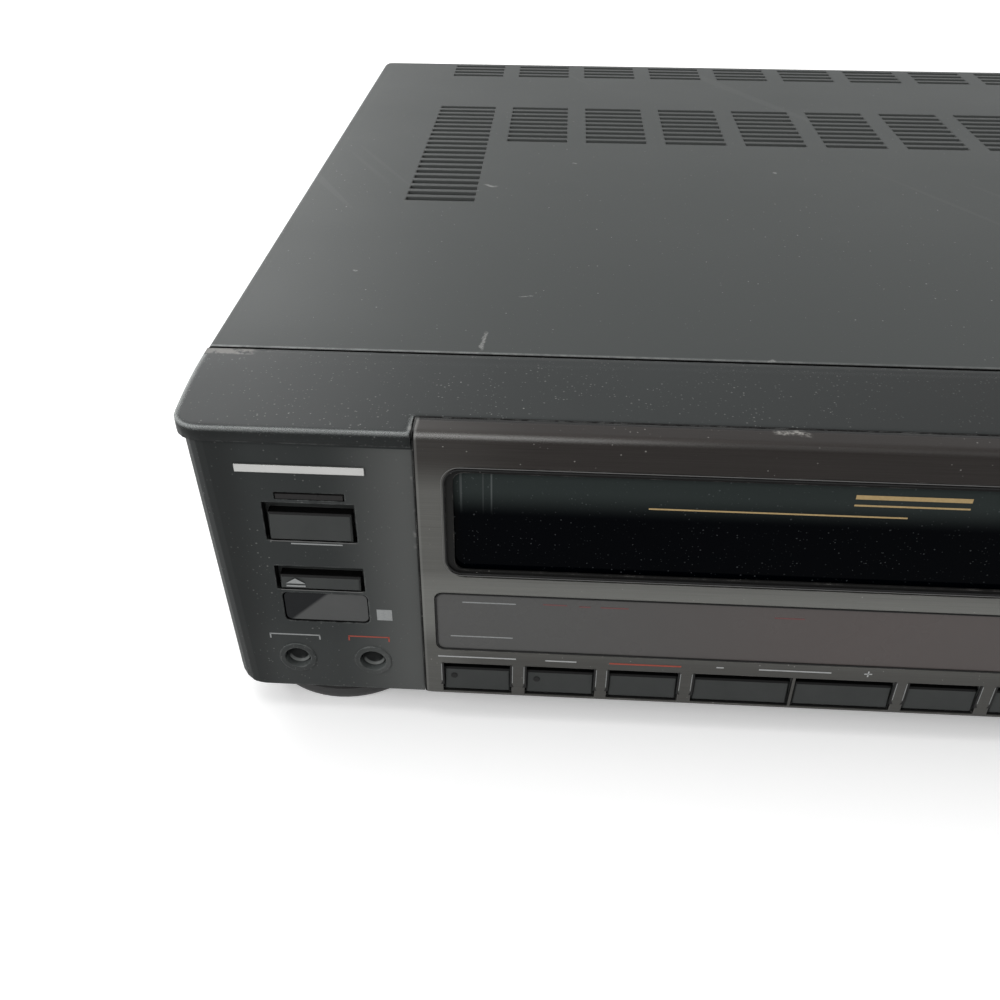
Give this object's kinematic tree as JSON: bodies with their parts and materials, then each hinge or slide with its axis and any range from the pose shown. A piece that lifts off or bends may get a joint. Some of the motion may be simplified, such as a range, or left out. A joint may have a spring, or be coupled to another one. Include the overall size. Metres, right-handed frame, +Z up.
{
  "type": "video cassette recorder",
  "caption": "Front-loading eight-millimetre video cassette recorder with a moulded front, a brushed fascia, a swinging cassette door, push keys and a working tape deck.",
  "frame": {"origin": "centre of the bounding box on the ground plane, under the feet", "axes": "+X to the right seen from the front, +Y from the front to the back, +Z up"},
  "size_m": [0.355, 0.308, 0.079],
  "materials": {
    "cover_paint": "satin textured",
    "panel_moulding": "satin",
    "brushed_fascia": "dark brushed",
    "zinc_sheet": "zinc plated",
    "smoked_door": "polished",
    "lens": "semi-gloss",
    "sensor_window": "polished",
    "indicator_lamp": "semi-gloss",
    "key_plastic": "satin",
    "foot_plastic": "matt",
    "screw_metal": "blackened",
    "board_laminate": "laminate",
    "tube_glass": "glass",
    "core_iron": "varnished",
    "drum_metal": "machined",
    "shaft_metal": "ground",
    "white_nylon": "natural",
    "roller_rubber": "matt",
    "connector_plastic": "satin"
  },
  "bodies": {
    "case": {"chassis_base": "zinc_sheet", "top_cover": "cover_paint", "rear_panel": "zinc_sheet", "front_panel": "panel_moulding", "fascia_panel": "brushed_fascia", "foot_front_left": "foot_plastic", "foot_front_right": "foot_plastic", "foot_rear_left": "foot_plastic", "foot_rear_right": "foot_plastic", "display_lens": "lens", "remote_window": "sensor_window", "power_indicator": "indicator_lamp", "front_board": "board_laminate", "display_tube": "tube_glass", "main_board": "board_laminate", "power_supply_board": "board_laminate", "mains_transformer": "core_iron", "tuner_box": "zinc_sheet", "av_jack_block": "connector_plastic", "mains_inlet": "connector_plastic", "mechanism_chassis": "zinc_sheet", "side_bracket_left": "zinc_sheet", "side_bracket_right": "zinc_sheet", "lower_drum": "drum_metal", "loading_motor": "shaft_metal", "cover_screw_left_front": "screw_metal", "cover_screw_left_rear": "screw_metal", "cover_screw_right_front": "screw_metal", "cover_screw_right_rear": "screw_metal"},
    "cassette_door": {"cassette_door": "smoked_door"},
    "cassette_carriage": {"cassette_carriage": "zinc_sheet"},
    "cassette_holder": {"cassette_holder": "zinc_sheet"},
    "supply_reel": {"supply_reel": "white_nylon"},
    "takeup_reel": {"takeup_reel": "white_nylon"},
    "upper_drum": {"upper_drum": "drum_metal"},
    "capstan": {"capstan": "shaft_metal"},
    "pinch_arm": {"pinch_arm": "zinc_sheet"},
    "pinch_roller": {"pinch_roller": "roller_rubber"},
    "loading_gear": {"loading_gear": "white_nylon"},
    "loading_pinion": {"loading_pinion": "white_nylon"},
    "supply_guide": {"supply_guide": "white_nylon"},
    "takeup_guide": {"takeup_guide": "white_nylon"},
    "power_button": {"power_button": "key_plastic"},
    "eject_button": {"eject_button": "key_plastic"},
    "pause_button": {"pause_button": "key_plastic"},
    "record_button": {"record_button": "key_plastic"},
    "counter_reset_button": {"counter_reset_button": "key_plastic"},
    "quick_timer_button": {"quick_timer_button": "key_plastic"},
    "synchro_edit_button": {"synchro_edit_button": "key_plastic"},
    "edit_button": {"edit_button": "key_plastic"},
    "timer_rec_button": {"timer_rec_button": "key_plastic"},
    "channel_down_button": {"channel_down_button": "key_plastic"},
    "channel_up_button": {"channel_up_button": "key_plastic"},
    "input_select_button": {"input_select_button": "key_plastic"},
    "tape_speed_button": {"tape_speed_button": "key_plastic"},
    "rewind_button": {"rewind_button": "key_plastic"},
    "fast_forward_button": {"fast_forward_button": "key_plastic"},
    "play_button": {"play_button": "key_plastic"},
    "stop_button": {"stop_button": "key_plastic"}
  },
  "joints": [
    {"name": "door_hinge", "type": "hinge", "parent": "case", "child": "cassette_door", "pos_m": [-0.0493, -0.1488, 0.0672], "axis": [1, 0, 0], "range_deg": [0, 80], "stiffness_Nm_per_rad": 0.01, "springref_deg": -11.46},
    {"name": "power_press", "type": "slide", "parent": "case", "child": "power_button", "axis": [0, 1, 0], "range_m": [0, 0.0015], "stiffness_N_per_m": 200, "springref_m": -0.001},
    {"name": "eject_press", "type": "slide", "parent": "case", "child": "eject_button", "axis": [0, 1, 0], "range_m": [0, 0.0015], "stiffness_N_per_m": 200, "springref_m": -0.001},
    {"name": "pause_press", "type": "slide", "parent": "case", "child": "pause_button", "axis": [0, 1, 0], "range_m": [0, 0.0015], "stiffness_N_per_m": 200, "springref_m": -0.001},
    {"name": "record_press", "type": "slide", "parent": "case", "child": "record_button", "axis": [0, 1, 0], "range_m": [0, 0.0015], "stiffness_N_per_m": 200, "springref_m": -0.001},
    {"name": "counter_reset_press", "type": "slide", "parent": "case", "child": "counter_reset_button", "axis": [0, 1, 0], "range_m": [0, 0.0015], "stiffness_N_per_m": 200, "springref_m": -0.001},
    {"name": "quick_timer_press", "type": "slide", "parent": "case", "child": "quick_timer_button", "axis": [0, 1, 0], "range_m": [0, 0.0015], "stiffness_N_per_m": 200, "springref_m": -0.001},
    {"name": "synchro_edit_press", "type": "slide", "parent": "case", "child": "synchro_edit_button", "axis": [0, 1, 0], "range_m": [0, 0.0015], "stiffness_N_per_m": 200, "springref_m": -0.001},
    {"name": "edit_press", "type": "slide", "parent": "case", "child": "edit_button", "axis": [0, 1, 0], "range_m": [0, 0.0015], "stiffness_N_per_m": 200, "springref_m": -0.001},
    {"name": "timer_rec_press", "type": "slide", "parent": "case", "child": "timer_rec_button", "axis": [0, 1, 0], "range_m": [0, 0.0015], "stiffness_N_per_m": 200, "springref_m": -0.001},
    {"name": "channel_down_press", "type": "slide", "parent": "case", "child": "channel_down_button", "axis": [0, 1, 0], "range_m": [0, 0.0015], "stiffness_N_per_m": 200, "springref_m": -0.001},
    {"name": "channel_up_press", "type": "slide", "parent": "case", "child": "channel_up_button", "axis": [0, 1, 0], "range_m": [0, 0.0015], "stiffness_N_per_m": 200, "springref_m": -0.001},
    {"name": "input_select_press", "type": "slide", "parent": "case", "child": "input_select_button", "axis": [0, 1, 0], "range_m": [0, 0.0015], "stiffness_N_per_m": 200, "springref_m": -0.001},
    {"name": "tape_speed_press", "type": "slide", "parent": "case", "child": "tape_speed_button", "axis": [0, 1, 0], "range_m": [0, 0.0015], "stiffness_N_per_m": 200, "springref_m": -0.001},
    {"name": "rewind_press", "type": "slide", "parent": "case", "child": "rewind_button", "axis": [0, 1, 0], "range_m": [0, 0.0015], "stiffness_N_per_m": 200, "springref_m": -0.001},
    {"name": "fast_forward_press", "type": "slide", "parent": "case", "child": "fast_forward_button", "axis": [0, 1, 0], "range_m": [0, 0.0015], "stiffness_N_per_m": 200, "springref_m": -0.001},
    {"name": "play_press", "type": "slide", "parent": "case", "child": "play_button", "axis": [0, 1, 0], "range_m": [0, 0.0015], "stiffness_N_per_m": 200, "springref_m": -0.001},
    {"name": "stop_press", "type": "slide", "parent": "case", "child": "stop_button", "axis": [0, 1, 0], "range_m": [0, 0.0015], "stiffness_N_per_m": 200, "springref_m": -0.001},
    {"name": "carriage_slide", "type": "slide", "parent": "case", "child": "cassette_carriage", "axis": [0, 1, 0], "range_m": [0, 0.022]},
    {"name": "holder_lower", "type": "slide", "parent": "cassette_carriage", "child": "cassette_holder", "axis": [0, 0, -1], "range_m": [0, 0.012]},
    {"name": "supply_reel_spin", "type": "hinge", "parent": "case", "child": "supply_reel", "pos_m": [-0.0718, -0.067, 0.024], "axis": [0, 0, 1], "continuous": true},
    {"name": "takeup_reel_spin", "type": "hinge", "parent": "case", "child": "takeup_reel", "pos_m": [-0.0268, -0.067, 0.024], "axis": [0, 0, 1], "continuous": true},
    {"name": "drum_spin", "type": "hinge", "parent": "case", "child": "upper_drum", "pos_m": [-0.0493, -0.0065, 0.02855], "axis": [0, -0.0872, 0.9962], "continuous": true},
    {"name": "capstan_spin", "type": "hinge", "parent": "case", "child": "capstan", "pos_m": [-0.0133, -0.02, 0.024], "axis": [0, 0, 1], "continuous": true},
    {"name": "pinch_arm_swing", "type": "hinge", "parent": "case", "child": "pinch_arm", "pos_m": [-0.0018, 0.002, 0.031], "axis": [0, 0, -1], "range_deg": [0, 20], "stiffness_Nm_per_rad": 0.01, "springref_deg": -5.73},
    {"name": "pinch_roller_spin", "type": "hinge", "parent": "pinch_arm", "child": "pinch_roller", "pos_m": [0.00131, -0.02028, 0.031], "axis": [0, 0, 1], "continuous": true},
    {"name": "loading_gear_turn", "type": "hinge", "parent": "case", "child": "loading_gear", "pos_m": [-0.0918, 0.002, 0.024], "axis": [0, 0, 1], "range_deg": [0, 150]},
    {"name": "loading_pinion_turn", "type": "hinge", "parent": "case", "child": "loading_pinion", "pos_m": [-0.0918, -0.01, 0.024], "axis": [0, 0, 1], "range_deg": [-450, 0]},
    {"name": "supply_guide_slide", "type": "slide", "parent": "case", "child": "supply_guide", "axis": [0, 1, 0], "range_m": [0, 0.026]},
    {"name": "takeup_guide_slide", "type": "slide", "parent": "case", "child": "takeup_guide", "axis": [0, 1, 0], "range_m": [0, 0.026]}
  ],
  "couplings": [
    {"joint": "loading_pinion_turn", "follows": "loading_gear_turn", "ratio": -3},
    {"joint": "supply_guide_slide", "follows": "loading_gear_turn", "m_per_rad": 0.0099312},
    {"joint": "takeup_guide_slide", "follows": "loading_gear_turn", "m_per_rad": 0.0099312}
  ]
}
